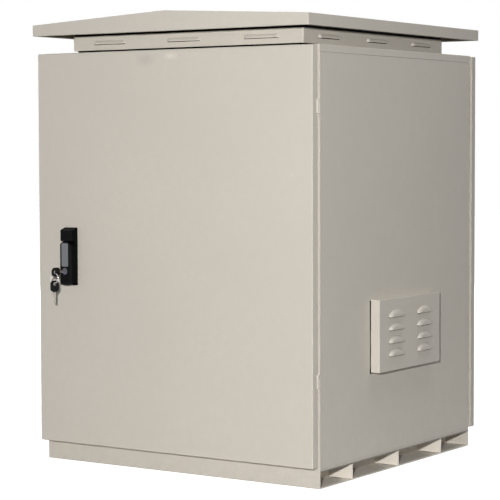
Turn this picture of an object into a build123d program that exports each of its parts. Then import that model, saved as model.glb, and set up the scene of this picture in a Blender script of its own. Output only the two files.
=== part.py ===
from build123d import *
import os
from math import cos, radians, sin

# Outdoor data cabinet in millimetres. +Z is up, the front door faces -Y, and the origin is on
# the floor under the middle of the body. The rear door is the front door turned half round.

# Sheet metal, play between pieces and cutting tools
sheet = 2.0
bend_radius = 2.5
seam = 0.8
rest_gap = 0.3
pin_play = 0.05
overrun = 5.0

# Body, door frames, side panels and top cover
body_width = 800.0
body_depth = 736.0
body_height = 970.0
jamb_width = 35.0
header_height = 35.0
sill_height = 35.0
lip_depth = 15.0
jamb_return = 40.0
base_band = 5.0
base_recess = 1.5
cover_lip = 17.0
corner_notch = 4.0

# Plinth with outward channels and stiffener plates along both sides
plinth_height = 40.0
plinth_recess = 67.0
plinth_flange = 40.0
gusset_thickness = 3.0
gusset_inset = 2.0
gusset_pitch = 220.0
gussets_per_side = 3
anchor_slot_length = 32.0
anchor_slot_width = 9.0
anchor_slot_inset = 42.0
anchor_slot_lead = 8.5

# Inner frame of square tube and rack rails
tube_size = 30.0
rack_opening = 450.0
rack_hole_inset = 7.55
rack_flange = 30.0
rack_unit = 44.45
rack_hole = 9.5
rack_hole_shares = (1 / 7, 1 / 2, 6 / 7)
rack_front_setback = 68.0

# Cable entry in the floor
entry_width = 300.0
entry_depth = 120.0
entry_tube_gap = 35.0
gland_margin = 15.0
grommet_count = 4
grommet_pitch = 66.0
grommet_seat_radius = 20.0
grommet_bore_radius = 14.0
grommet_flange = 4.0
grommet_rim = 3.0

# Roof: vent slots in the top cover, louvred collar on sealing strips, roof frame, gable canopy
vent_slot_length = 200.0
vent_slot_width = 8.0
vent_slot_pitch = 40.0
vent_slot_rows = 12
vent_slot_column_pitch = 250.0
collar_side_inset = 64.0
collar_end_inset = 32.0
collar_gap = 6.0
collar_flange = 45.0
collar_louvre_length = 98.0
collar_louvre_rise = 9.0
collar_louvre_depth = 6.0
collar_louvre_pitch = 222.0
collar_louvre_height = 14.0
collar_louvre_slit = 1.2
louvres_per_wall = 3
roof_side_overhang = 0.0
roof_end_overhang = 49.0
roof_lift = 41.0
roof_frame_lap = 10.0
eave_height = 26.5
ridge_rise = 21.0
fascia_return = 15.0
seal_recess = 8.0
seal_width = 36.0
roof_bolt_inset = 100.0
roof_bolt_radius = 4.0
roof_bolt_across_flats = 13.0
roof_bolt_head = 5.3
roof_nut_height = 6.5
roof_bolt_spare = 3.0

# Vent hood on the right side, its louvres, filter mat and two fans
hood_width = 302.0
hood_height = 174.0
hood_depth = 25.0
hood_centre_y = 10.0
hood_rise = 203.0
hood_louvre_width = 72.0
hood_louvre_rise = 17.0
hood_louvre_depth = 7.0
hood_louvre_flank = 9.0
hood_louvre_flank_shares = ((0, 0), (0.7, 0.4), (1, 1))
hood_louvre_columns = 2
hood_louvre_column_pitch = 140.0
hood_louvre_rows = 4
hood_louvre_row_pitch = 31.0
hood_louvre_height = 36.5
hood_louvre_slit = 2.0
louvre_wall = 1.5
filter_thickness = 10.0
filter_margin = 18.0
fan_size = 120.0
fan_depth = 38.0
fan_bore_radius = 57.0
fan_screw_radius = 2.2
fan_screw_inset = 7.5
fan_strut_width = 6.0
fan_strut_depth = 3.0
fan_hub_radius = 19.0
fan_shaft_radius = 3.0
fan_end_play = 1.0
fan_blade_count = 7
fan_blade_chord = 30.0
fan_blade_thickness = 2.0
fan_blade_pitch_angle = 40.0
fan_tip_play = 2.5

# Doors
door_thickness = 20.0
door_stand_off = 5.0
door_overhang = 4.0
door_bottom_rise = 8.0
door_top_drop = 2.0
door_return = 15.0
gasket_width = 14.0
stiffener_width = 60.0
stiffener_flange = 12.0
stiffener_depth = 12.0
stiffener_end_gap = 20.0

# Hinges on the right edge of the door
hinge_pin_radius = 2.5
hinge_knuckle_radius = 4.0
hinge_knuckle_height = 16.0
hinge_axis_setback = 0.5
hinge_leaf_width = 24.0
hinge_leaf_thickness = 2.0
hinge_notch_margin = 2.0
hinge_top_inset = 138.0
hinge_bottom_inset = 199.0

# Swing handle on the left edge of the door
handle_inset = 104.0
handle_rise = 393.0
handle_width = 36.0
handle_height = 141.0
base_depth = 12.0
head_depth = 24.0
head_height = 32.4
head_bevel_height = 7.0
head_bevel_depth = 18.0
handle_corner = 3.0
lever_thickness = 15.7
lever_bevel = 4.0
lever_end_bulge = 4.0
lever_pin_radius = 2.0
lever_pin_length = 24.0
lug_width = 10.0
lug_radius = 5.0
insert_width = 20.5
insert_height = 57.0
insert_thickness = 1.0
insert_corner = 3.0
insert_rise = 46.0
lock_rise = 34.5
lock_barrel_radius = 8.0
lock_barrel_depth = 14.0
lock_barrel_proud = 0.6
lock_plug_radius = 5.0
lock_plug_proud = 0.5
lock_bottom_wall = 1.0

# Spindle, cam, lock rods and their guides
spindle_head_radius = 16.5
spindle_head_depth = 4.0
spindle_radius = 8.0
cam_radius = 20.0
cam_thickness = 3.0
cam_setback = 29.0
cam_pin_radius = 3.0
cam_pin_orbit = 14.0
cam_pin_angle = 45.0
rod_width = 16.0
rod_thickness = 3.0
rod_end_gap = 1.5
rod_slack = 0.4
yoke_slack = 0.6
yoke_wall = 5.0
guide_wall = 2.0
guide_height = 12.0
guide_near_distance = 150.0
guide_far_inset = 60.0

# Keys and split ring
key_bow_length = 28.5
key_bow_height = 21.7
key_bow_thickness = 3.6
key_bow_round_share = 0.42
key_hole_radius = 4.5
key_hole_inset = 9.0
key_neck = 19.0
key_blade_length = 26.0
key_blade_height = 5.6
key_blade_thickness = 2.0
key_play = 0.2
key_notch_shares = (0.3, 0.5, 0.7)
key_notch_depth = 1.3
ring_radius = 11.6
ring_wire_radius = 1.1
spare_key_turn = -25.0

# Levels and faces that follow from the sizes above
half_turn = 180.0
quarter_turn = 90.0
half_width = body_width / 2
front_y = -body_depth / 2
body_top = plinth_height + body_height
base_top = plinth_height + base_band
panel_z = (base_top + seam, body_top - cover_lip - seam)
depth_y = (front_y + sheet, -front_y - sheet)
opening_x = (jamb_width - half_width, half_width - jamb_width)
opening_z = (plinth_height + sill_height, body_top - header_height)
tube_low_z = (base_top, base_top + tube_size)
tube_high_z = (body_top - sheet - tube_size, body_top - sheet)
rack_front_y = front_y + rack_front_setback
entry_rear_y = -rack_front_y - tube_size - entry_tube_gap - gland_margin
entry_centre_y = entry_rear_y - entry_depth / 2

plinth_web_x = half_width - plinth_recess
gusset_ys = [gusset_pitch * (i - (gussets_per_side - 1) / 2) for i in range(gussets_per_side)]

collar_width = body_width - 2 * collar_side_inset
collar_depth = body_depth - 2 * collar_end_inset
collar_bottom = body_top + collar_gap
roof_width = body_width + 2 * roof_side_overhang
roof_depth = body_depth + 2 * roof_end_overhang
roof_bottom = body_top + roof_lift
eave_top = roof_bottom + eave_height
ridge_top = eave_top + ridge_rise
seal_x = (seal_recess - collar_width / 2, collar_width / 2 - seal_recess)
seal_y = (seal_recess - collar_depth / 2, collar_depth / 2 - seal_recess)
roof_bolt_places = [
    (sx * (seal_x[1] - roof_bolt_inset), sy * (seal_y[1] - seal_width / 2))
    for sx in (-1, 1)
    for sy in (-1, 1)
]

hood_face_x = half_width + hood_depth
hood_bottom = plinth_height + hood_rise
hood_middle_z = hood_bottom + hood_height / 2
fan_ys = [hood_centre_y + side * hood_louvre_column_pitch / 2 for side in (-1, 1)]
fan_inner_x = half_width - sheet - fan_depth

door_back_y = front_y - door_stand_off
door_front_y = door_back_y - door_thickness
door_skin_y = door_front_y + sheet
door_x = (-half_width - door_overhang, half_width - door_overhang)
door_z = (plinth_height + door_bottom_rise, body_top - door_top_drop)

hinge_x = door_x[1]
hinge_y = door_back_y + hinge_axis_setback
hinge_zs = (door_z[0] + hinge_bottom_inset, door_z[1] - hinge_top_inset)

handle_x = door_x[0] + handle_inset
handle_x_limits = (handle_x - handle_width / 2, handle_x + handle_width / 2)
handle_z = (door_z[0] + handle_rise, door_z[0] + handle_rise + handle_height)
head_bottom = handle_z[1] - head_height
base_face_y = door_front_y - base_depth
lever_y = (base_face_y - rest_gap - lever_thickness, base_face_y - rest_gap)
lever_top = head_bottom - rest_gap
turn_z = lever_top - handle_width / 2
lever_pin_y = (lever_y[0] + lever_y[1]) / 2
lever_pin_z = lever_top - lever_thickness / 2
lock_z = handle_z[0] + lock_rise
cam_y = (door_front_y + cam_setback, door_front_y + cam_setback + cam_thickness)
rod_y_limits = (cam_y[1] + rest_gap, cam_y[1] + rest_gap + rod_thickness)

cam_pin_reach = cam_pin_orbit * cos(radians(cam_pin_angle))
cam_pin_drop = cam_pin_orbit * sin(radians(cam_pin_angle))
yoke_length = cam_pin_orbit - cam_pin_reach + 2 * (cam_pin_radius + yoke_slack)
yoke_centre = (cam_pin_orbit + cam_pin_reach) / 2
yoke_height = 2 * (cam_pin_radius + yoke_slack)

key_bow_y = lever_y[0] - lock_barrel_proud - lock_plug_proud - key_neck
key_hole_y = key_bow_y - key_bow_length + key_hole_inset
ring_hang = key_hole_radius - ring_wire_radius - 2 * rest_gap
ring_top_z = lock_z - ring_hang
ring_bottom_z = ring_top_z - 2 * ring_radius
spare_key_z = ring_bottom_z - ring_hang


def block(x, y, z):
    """Box between three pairs of limits."""
    size = (x[1] - x[0], y[1] - y[0], z[1] - z[0])
    return Pos(x[0], y[0], z[0]) * Box(*size, align=(Align.MIN, Align.MIN, Align.MIN))


def around(centre, size):
    """Pair of limits round a centre."""
    return (centre - size / 2, centre + size / 2)


def grown(limits, margin):
    """Pair of limits moved apart by a margin at each end."""
    return (limits[0] - margin, limits[1] + margin)


def rod_x(radius, x, y, z):
    """Round bar along X between two limits."""
    bar = Cylinder(radius, x[1] - x[0], align=(Align.CENTER, Align.CENTER, Align.MIN))
    return Pos(x[0], y, z) * Rot(0, quarter_turn, 0) * bar


def rod_y(radius, x, y, z):
    """Round bar along Y between two limits."""
    bar = Cylinder(radius, y[1] - y[0], align=(Align.CENTER, Align.CENTER, Align.MIN))
    return Pos(x, y[0], z) * Rot(-quarter_turn, 0, 0) * bar


def rod_z(radius, x, y, z):
    """Round bar along Z between two limits."""
    bar = Cylinder(radius, z[1] - z[0], align=(Align.CENTER, Align.CENTER, Align.MIN))
    return Pos(x, y, z[0]) * bar


def prism_x(outline, x):
    """Outline given in (Y, Z), extruded along X between two limits."""
    return extrude(Plane.YZ.offset(x[0]) * outline, amount=x[1] - x[0])


def prism_y(outline, y):
    """Outline given in (X, Z), extruded along Y between two limits."""
    return extrude(Plane.XZ.offset(-y[1]) * outline, amount=y[1] - y[0])


def prism_z(outline, z):
    """Outline given in (X, Y), extruded along Z between two limits."""
    return extrude(Plane.XY.offset(z[0]) * outline, amount=z[1] - z[0])


def polygon(points):
    """Face inside a closed polyline."""
    return make_face(Polyline(*points, close=True))


def both_sides(piece):
    """A piece and its mirror image across the middle of the cabinet."""
    return [piece, mirror(piece, about=Plane.YZ)]


def group(pieces):
    """Separate solids kept together in one node."""
    return Compound(children=[solid for piece in pieces for solid in piece.solids()])


def turned(piece):
    """Copy of a front piece turned half round to the rear."""
    return piece.rotate(Axis.Z, half_turn)


# Plinth

def plinth_panel():
    """Front panel of the plinth, folded inwards at top and bottom between the side channels."""
    web = block((-half_width, half_width), (front_y, front_y + sheet), (0, plinth_height))
    flange_x = (sheet - plinth_web_x, plinth_web_x - sheet)
    flange_y = (front_y + sheet, front_y + plinth_flange)
    low = block(flange_x, flange_y, (0, sheet))
    high = block(flange_x, flange_y, (plinth_height - sheet, plinth_height))
    return web + low + high


def plinth_side():
    """Right channel of the plinth, open outwards, with anchor slots beside each stiffener plate."""
    outer = block((plinth_web_x - sheet, half_width), depth_y, (0, plinth_height))
    hollow_x = (plinth_web_x, half_width + overrun)
    hollow = block(hollow_x, grown(depth_y, overrun), (sheet, plinth_height - sheet))
    outline = SlotOverall(anchor_slot_length, anchor_slot_width)
    slot = prism_z(Pos(half_width - anchor_slot_inset, 0) * outline, (-overrun, sheet + overrun))
    slots = [Pos(0, y + side * anchor_slot_lead, 0) * slot for y in gusset_ys for side in (-1, 1)]
    return outer - hollow - slots


def plinth_gussets():
    """Upright plates that stiffen both side channels."""
    plates = []
    for y in gusset_ys:
        x = (plinth_web_x, half_width - gusset_inset)
        plate = block(x, around(y, gusset_thickness), (sheet, plinth_height - sheet))
        plates += both_sides(plate)
    return group(plates)


# Body

def door_frame():
    """Strip round the front opening, with a gutter lip forwards and returns behind the side panels."""
    plate = block((-half_width, half_width), (front_y, front_y + sheet), (plinth_height, body_top))
    lip = block(grown(opening_x, sheet), (front_y - lip_depth, front_y), grown(opening_z, sheet))
    through = block(opening_x, (front_y - lip_depth - overrun, front_y + sheet + overrun), opening_z)
    return_x = (half_width - 2 * sheet, half_width - sheet)
    return_z = (tube_low_z[1], tube_high_z[0])
    side = block(return_x, (front_y + sheet, front_y + sheet + jamb_return), return_z)
    return plate + lip - through + both_sides(side)


def side_panel():
    """Plain right side panel."""
    return block((half_width - sheet, half_width), depth_y, panel_z)


def vented_side_panel():
    """Right side panel with a round opening for each fan."""
    x = grown((half_width - sheet, half_width), overrun)
    return side_panel() - [rod_x(fan_bore_radius, x, y, hood_middle_z) for y in fan_ys]


def base_tray():
    """Floor of the body, its long edges folded down to the plinth, with the cable entry cut out."""
    x = (base_recess - half_width, half_width - base_recess)
    pan = block(x, depth_y, (plinth_height, base_top))
    hollow = block(grown(x, -sheet), grown(depth_y, overrun), (plinth_height - overrun, base_top - sheet))
    entry_z = (plinth_height, base_top + overrun)
    entry = block(around(0, entry_width), around(entry_centre_y, entry_depth), entry_z)
    return pan - hollow - entry


def grommet_places():
    """Centres of the cable grommets along the entry."""
    return [
        (grommet_pitch * (i - (grommet_count - 1) / 2), entry_centre_y)
        for i in range(grommet_count)
    ]


def gland_plate():
    """Plate over the cable entry with a row of grommet seats."""
    x = around(0, entry_width + 2 * gland_margin)
    y = around(entry_centre_y, entry_depth + 2 * gland_margin)
    plate = block(x, y, (base_top, base_top + sheet))
    cut_z = (base_top - overrun, base_top + sheet + overrun)
    return plate - [rod_z(grommet_seat_radius, px, py, cut_z) for px, py in grommet_places()]


def cable_grommets():
    """Rubber grommets, each a turned ring with a groove that grips the plate."""
    rim_radius = grommet_seat_radius + grommet_flange
    low = base_top - grommet_rim
    high = base_top + sheet + grommet_rim
    section = polygon([
        (grommet_bore_radius, low),
        (rim_radius, low),
        (rim_radius, base_top),
        (grommet_seat_radius, base_top),
        (grommet_seat_radius, base_top + sheet),
        (rim_radius, base_top + sheet),
        (rim_radius, high),
        (grommet_bore_radius, high),
    ])
    ring = revolve(Plane.XZ * section, axis=Axis.Z)
    return group([Pos(x, y, 0) * ring for x, y in grommet_places()])


def tube(x, y, z, axis):
    """Square tube between limits, open at both ends along one axis."""
    hollow = [grown(limits, -sheet) for limits in (x, y, z)]
    hollow[axis] = grown((x, y, z)[axis], overrun)
    return block(x, y, z) - block(*hollow)


def frame_tubes():
    """Inner frame: tubes along both sides and across under and over the rack rails."""
    tubes = []
    side_x = (half_width - sheet - tube_size, half_width - sheet)
    cross_x = (-side_x[0], side_x[0])
    for z in (tube_low_z, tube_high_z):
        tubes += both_sides(tube(side_x, depth_y, z, 1))
        cross = tube(cross_x, (rack_front_y, rack_front_y + tube_size), z, 0)
        tubes += [cross, turned(cross)]
    return group(tubes)


def rack_rail():
    """Right front rack rail: an angle with square holes at rack spacing."""
    x = (rack_opening / 2, rack_opening / 2 + rack_flange)
    y = (rack_front_y, rack_front_y + tube_size)
    z = (tube_low_z[1], tube_high_z[0])
    section = polygon([
        (x[0], y[0]),
        (x[1], y[0]),
        (x[1], y[1]),
        (x[1] - sheet, y[1]),
        (x[1] - sheet, y[0] + sheet),
        (x[0], y[0] + sheet),
    ])
    units = int((z[1] - z[0]) // rack_unit)
    first = (z[0] + z[1] - units * rack_unit) / 2
    hole_x = around(x[0] + rack_hole_inset, rack_hole)
    hole_y = grown((y[0], y[0] + sheet), sheet)
    holes = [
        block(hole_x, hole_y, around(first + (unit + share) * rack_unit, rack_hole))
        for unit in range(units)
        for share in rack_hole_shares
    ]
    return prism_z(section, z) - holes


def rack_rails():
    """Four rack rails, a pair at the front and a pair at the rear."""
    front = both_sides(rack_rail())
    return group(front + [turned(rail) for rail in front])


def top_cover():
    """Top of the body with lips down both sides, vent slots and holes for the roof bolts."""
    outer = block((-half_width, half_width), depth_y, (body_top - cover_lip, body_top))
    outer = fillet(outer.edges().filter_by(Axis.Y).group_by(Axis.Z)[-1], bend_radius)
    hollow_x = (sheet - half_width, half_width - sheet)
    hollow = block(hollow_x, grown(depth_y, overrun), (body_top - cover_lip - overrun, body_top - sheet))
    cut_z = (body_top - sheet - overrun, body_top + overrun)
    slots = []
    for column in (-1, 1):
        slot_x = around(column * vent_slot_column_pitch / 2, vent_slot_length)
        for row in range(vent_slot_rows):
            y = vent_slot_pitch * (row - (vent_slot_rows - 1) / 2)
            slots.append(block(slot_x, around(y, vent_slot_width), cut_z))
    holes = [rod_z(roof_bolt_radius + pin_play, x, y, cut_z) for x, y in roof_bolt_places]
    notch_y = (depth_y[1] - corner_notch, depth_y[1] + overrun)
    notch_z = (body_top - cover_lip - overrun, body_top - cover_lip + corner_notch)
    notch = block((half_width - sheet - overrun, half_width + overrun), notch_y, notch_z)
    return outer - hollow - slots - holes - both_sides(notch)


# Roof

def gable(width, low, eave, ridge):
    """Gable outline in (X, Z): a rectangle with a low peak over its middle."""
    half = width / 2
    return polygon([(-half, low), (half, low), (half, eave), (0, ridge), (-half, eave)])


def gable_under_roof(width, low):
    """Gable outline of some width whose slopes lie on the underside of the roof sheet."""
    slope = ridge_rise / (roof_width / 2)
    ridge = ridge_top - sheet
    return gable(width, low, ridge - slope * width / 2, ridge)


def collar_louvres(shrink, slit):
    """Bulges of the louvres on all four collar walls, drawn in by a wall and run down past a slit."""
    sag = (collar_louvre_rise**2 - collar_louvre_depth**2) / (2 * collar_louvre_depth)
    radius = sag + collar_louvre_depth
    straight = collar_louvre_length - 2 * collar_louvre_rise
    low = collar_bottom + collar_louvre_height
    bulges = []
    for reach, turn in ((collar_depth / 2, 0), (collar_width / 2, quarter_turn)):
        for i in range(louvres_per_wall):
            x = collar_louvre_pitch * (i - (louvres_per_wall - 1) / 2)
            y = sag - reach
            core = rod_y(radius - shrink, 0, around(0, straight), 0)
            ends = [Pos(0, side * straight / 2, 0) * Sphere(radius - shrink) for side in (-1, 1)]
            capsule = Pos(x, y, low) * Rot(0, 0, quarter_turn) * (core + ends)
            keep_y = (-reach - collar_louvre_depth, sheet - reach)
            keep = block(around(x, collar_louvre_length), keep_y, (low - slit, low + collar_louvre_rise))
            bulge = Rot(0, 0, turn) * (capsule & keep)
            bulges += [bulge, turned(bulge)]
    return bulges


def collar_strips(ring):
    """The ring of the collar parted into four strips with mitred corners."""
    out = collar_louvre_depth + overrun
    back = sheet + collar_flange + overrun
    out_x, back_x = collar_width / 2 + out, collar_width / 2 - back
    out_y, back_y = collar_depth / 2 + out, collar_depth / 2 - back
    front = polygon([(-out_x, -out_y), (out_x, -out_y), (back_x, -back_y), (-back_x, -back_y)])
    right = polygon([(out_x, -out_y), (out_x, out_y), (back_x, back_y), (back_x, -back_y)])
    strips = []
    for plan in (front, right):
        strip = ring & prism_z(plan, (collar_bottom, roof_bottom))
        strips += [strip, turned(strip)]
    return strips


def roof_collar():
    """Louvred collar under the roof: four mitred strips, each a wall on an inward foot flange."""
    x = around(0, collar_width)
    y = around(0, collar_depth)
    walls = block(x, y, (collar_bottom, roof_bottom))
    walls = fillet(walls.edges().filter_by(Axis.Z), bend_radius)
    hollow = block(grown(x, -sheet), grown(y, -sheet), (collar_bottom + sheet, roof_bottom + overrun))
    cut_z = grown((collar_bottom, collar_bottom + sheet), overrun)
    mouth = block(grown(x, -sheet - collar_flange), grown(y, -sheet - collar_flange), cut_z)
    holes = [rod_z(roof_bolt_radius + pin_play, bolt_x, bolt_y, cut_z) for bolt_x, bolt_y in roof_bolt_places]
    ring = walls - hollow - mouth - holes
    ring = ring + collar_louvres(0, 0) - collar_louvres(louvre_wall, collar_louvre_slit)
    return group(collar_strips(ring))


def roof_frame():
    """Upright frame lapped inside the collar, cut to the roof slope, that carries the roof."""
    width = collar_width - 2 * sheet
    depth = collar_depth - 2 * sheet
    low = roof_bottom - roof_frame_lap
    walls = prism_y(gable_under_roof(width, low), around(0, depth))
    room = gable(width - 2 * sheet, low - overrun, ridge_top, ridge_top + ridge_rise)
    return walls - prism_y(room, around(0, depth - 2 * sheet))


def roof_canopy():
    """Gable canopy of folded sheet: sloped top, fascia all round and an inward return under it."""
    outer = prism_y(gable(roof_width, roof_bottom, eave_top, ridge_top), around(0, roof_depth))
    outer = fillet(outer.edges().filter_by(Axis.Z), bend_radius)
    room = gable_under_roof(roof_width - 2 * sheet, roof_bottom + sheet)
    hollow = prism_y(room, around(0, roof_depth - 2 * sheet))
    mouth_x = around(0, roof_width - 2 * fascia_return)
    mouth_y = around(0, roof_depth - 2 * fascia_return)
    mouth = block(mouth_x, mouth_y, grown((roof_bottom, roof_bottom + sheet), overrun))
    return outer - hollow - mouth


def roof_seal():
    """Rubber strips laid in four lengths between the top cover and the collar, holed for the roof bolts."""
    z = (body_top, collar_bottom)
    cut_z = grown(z, overrun)
    holes = [rod_z(roof_bolt_radius + pin_play, x, y, cut_z) for x, y in roof_bolt_places]
    front = block(seal_x, (seal_y[0], seal_y[0] + seal_width), z) - holes
    right = block((seal_x[1] - seal_width, seal_x[1]), grown(seal_y, -seal_width), z)
    return group([front, turned(front), right, turned(right)])


def canopy_fasteners():
    """Hexagon bolts and nuts that clamp the collar to the top cover."""
    hexagon = RegularPolygon(roof_bolt_across_flats / 2, 6, major_radius=False)
    seat = collar_bottom + sheet
    nut_z = (body_top - sheet - roof_nut_height, body_top - sheet)
    shank = rod_z(roof_bolt_radius, 0, 0, (nut_z[0] - roof_bolt_spare, seat))
    bolt = prism_z(hexagon, (seat, seat + roof_bolt_head)) + shank
    nut = prism_z(hexagon, nut_z) - rod_z(roof_bolt_radius + pin_play, 0, 0, grown(nut_z, overrun))
    return group([Pos(x, y, 0) * piece for x, y in roof_bolt_places for piece in (bolt, nut)])


# Vent hood and fans

def hood_louvre(shrink, slit):
    """Half-oval bulge with rounded flanks and a flat face, drawn in by a wall and run down past a slit."""
    inner_x = hood_face_x - sheet
    ovals = []
    for depth_share, flank_share in hood_louvre_flank_shares:
        x = inner_x + depth_share * (sheet + hood_louvre_depth - shrink)
        drawn = shrink + flank_share * hood_louvre_flank
        oval = Ellipse(hood_louvre_width / 2 - drawn, hood_louvre_rise - drawn)
        ovals.append(Plane.YZ.offset(x) * oval)
    keep_x = (inner_x, hood_face_x + hood_louvre_depth)
    return loft(ovals) & block(keep_x, around(0, hood_louvre_width), (-slit, hood_louvre_rise))


def hood_louvres(shrink, slit):
    """Bulges in columns and rows on the hood, drawn in by a wall and run down past a slit."""
    bulge = hood_louvre(shrink, slit)
    bulges = []
    for column in range(hood_louvre_columns):
        y = hood_centre_y + hood_louvre_column_pitch * (column - (hood_louvre_columns - 1) / 2)
        for row in range(hood_louvre_rows):
            low = hood_bottom + hood_louvre_height + row * hood_louvre_row_pitch
            bulges.append(Pos(0, y, low) * bulge)
    return bulges


def vent_hood():
    """Folded box over the fan openings, its face pressed into half-oval louvres."""
    y = around(hood_centre_y, hood_width)
    z = (hood_bottom, hood_bottom + hood_height)
    shell = block((half_width, hood_face_x), y, z)
    shell = fillet(shell.edges().filter_by(Axis.X) + shell.faces().sort_by(Axis.X)[-1].edges(), bend_radius)
    hollow = block((half_width - overrun, hood_face_x - sheet), grown(y, -sheet), grown(z, -sheet))
    return shell - hollow + hood_louvres(0, 0) - hood_louvres(louvre_wall, hood_louvre_slit)


def filter_mat():
    """Filter mat between the side panel and the hood."""
    y = around(hood_centre_y, hood_width - 2 * filter_margin)
    z = around(hood_middle_z, hood_height - 2 * filter_margin)
    return block((half_width, half_width + filter_thickness), y, z)


def fan_frame():
    """Square fan frame with a round duct, struts, a hub plate and the shaft of the rotor."""
    x = (fan_inner_x, half_width - sheet)
    square = block(x, around(0, fan_size), around(0, fan_size))
    duct = rod_x(fan_bore_radius, grown(x, overrun), 0, 0)
    corner = fan_size / 2 - fan_screw_inset
    screws = [
        rod_x(fan_screw_radius, grown(x, overrun), sy * corner, sz * corner)
        for sy in (-1, 1)
        for sz in (-1, 1)
    ]
    strut_x = (x[0], x[0] + fan_strut_depth)
    upright = block(strut_x, around(0, fan_strut_width), around(0, fan_size))
    level = block(strut_x, around(0, fan_size), around(0, fan_strut_width))
    hub = rod_x(fan_hub_radius, strut_x, 0, 0)
    shaft = rod_x(fan_shaft_radius, (strut_x[0], x[1] - 2 * fan_strut_depth), 0, 0)
    return square - duct - screws + upright + level + hub + shaft


def fan_rotor():
    """Fan rotor: a hub that runs on the shaft and pitched blades."""
    hub_x = (fan_inner_x + fan_strut_depth + fan_end_play, half_width - sheet - fan_strut_depth)
    middle = (hub_x[0] + hub_x[1]) / 2
    span = fan_bore_radius - fan_tip_play
    plate = Pos(0, 0, span / 2) * Box(fan_blade_thickness, fan_blade_chord, span)
    pitched = Rot(0, 0, fan_blade_pitch_angle) * plate
    blades = [
        Rot(i * 2 * half_turn / fan_blade_count, 0, 0) * (Pos(middle, 0, 0) * pitched)
        for i in range(fan_blade_count)
    ]
    swept = rod_x(span, hub_x, 0, 0)
    hub = rod_x(fan_hub_radius, hub_x, 0, 0)
    bore_x = (hub_x[0] - overrun, hub_x[1] - fan_strut_depth + fan_end_play)
    bore = rod_x(fan_shaft_radius + pin_play, bore_x, 0, 0)
    return ((hub + blades) & swept) - bore


# Door, built at the front

def door_shell():
    """Folded door tray with rounded edges, an inward return and notches for the hinge knuckles."""
    tray = block(door_x, (door_front_y, door_back_y), door_z)
    front = tray.faces().sort_by(Axis.Y)[0]
    tray = fillet(tray.edges().filter_by(Axis.Y) + front.edges(), bend_radius)
    hollow = block(grown(door_x, -sheet), (door_skin_y, door_back_y - sheet), grown(door_z, -sheet))
    mouth_y = (door_back_y - sheet - overrun, door_back_y + overrun)
    mouth = block(grown(door_x, -door_return), mouth_y, grown(door_z, -door_return))
    notch_size = 2 * (hinge_knuckle_radius + hinge_notch_margin)
    notch_height = 2 * (hinge_knuckle_height + hinge_notch_margin)
    notches = [
        block(around(hinge_x, notch_size), around(hinge_y, notch_size), around(z, notch_height))
        for z in hinge_zs
    ]
    bore = rod_y(spindle_radius + rest_gap, handle_x, grown((door_front_y, door_skin_y), overrun), turn_z)
    return tray - hollow - mouth - notches - bore


def door_stiffener():
    """Hat-section stiffener up the inside of the door."""
    x = (door_x[0] + door_x[1]) / 2
    top_y = door_skin_y + stiffener_depth
    half = stiffener_width / 2
    side = half - stiffener_flange
    right = [
        (half, door_skin_y),
        (half, door_skin_y + sheet),
        (side, door_skin_y + sheet),
        (side, top_y),
    ]
    inner = [
        (side - sheet, top_y - sheet),
        (side - sheet, door_skin_y),
    ]
    outline = right + [(-px, py) for px, py in reversed(right)]
    outline += [(-px, py) for px, py in reversed(inner)] + inner
    z = grown(opening_z, -stiffener_end_gap)
    return prism_z(Pos(x, 0) * polygon(outline), z)


def door_gasket():
    """Sealing strip inside the door that meets the gutter lip of the frame."""
    y = (door_skin_y, front_y - lip_depth - rest_gap)
    outer = (gasket_width + sheet) / 2
    inner = (gasket_width - sheet) / 2
    ring = block(grown(opening_x, outer), y, grown(opening_z, outer))
    return ring - block(grown(opening_x, -inner), grown(y, overrun), grown(opening_z, -inner))


def hinge_leaf(y, knuckle_z):
    """Hinge leaf in some Y limits with its knuckle, bored for the pin."""
    leaf = block((hinge_x - hinge_leaf_width, hinge_x), y, knuckle_z)
    knuckle = rod_z(hinge_knuckle_radius, hinge_x, hinge_y, knuckle_z)
    bore = rod_z(hinge_pin_radius + pin_play, hinge_x, hinge_y, grown(knuckle_z, overrun))
    return leaf + knuckle - bore


def hinge_body_leaves():
    """Lower leaf of each hinge, on the body."""
    y = (front_y - hinge_leaf_thickness, front_y)
    return group([hinge_leaf(y, (z - hinge_knuckle_height, z)) for z in hinge_zs])


def hinge_door_leaves():
    """Upper leaf of each hinge, on the return of the door."""
    y = (door_back_y, door_back_y + hinge_leaf_thickness)
    return group([hinge_leaf(y, (z + rest_gap, z + hinge_knuckle_height)) for z in hinge_zs])


def hinge_pins():
    """Pins through both knuckles of each hinge."""
    length = 2 * hinge_knuckle_height
    return group([rod_z(hinge_pin_radius, hinge_x, hinge_y, around(z, length)) for z in hinge_zs])


# Swing handle and lock, on the front door

def handle_base():
    """Handle base: a plate with a bevelled head above the lever, bored for the spindle."""
    head_face_y = door_front_y - head_depth
    outline = polygon([
        (door_front_y, handle_z[0]),
        (base_face_y, handle_z[0]),
        (base_face_y, head_bottom),
        (head_face_y, head_bottom),
        (head_face_y, handle_z[1] - head_bevel_height),
        (head_face_y + head_bevel_depth, handle_z[1]),
        (door_front_y, handle_z[1]),
    ])
    body = prism_x(outline, handle_x_limits)
    rounded = fillet(body.edges().filter_by(Axis.Z).group_by(Axis.Y)[0], handle_corner)
    pocket_y = (base_face_y - overrun, base_face_y + spindle_head_depth)
    pocket = rod_y(spindle_head_radius + rest_gap, handle_x, pocket_y, turn_z)
    bore = rod_y(spindle_radius + pin_play, handle_x, grown((base_face_y, door_front_y), overrun), turn_z)
    return rounded - pocket - bore


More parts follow.
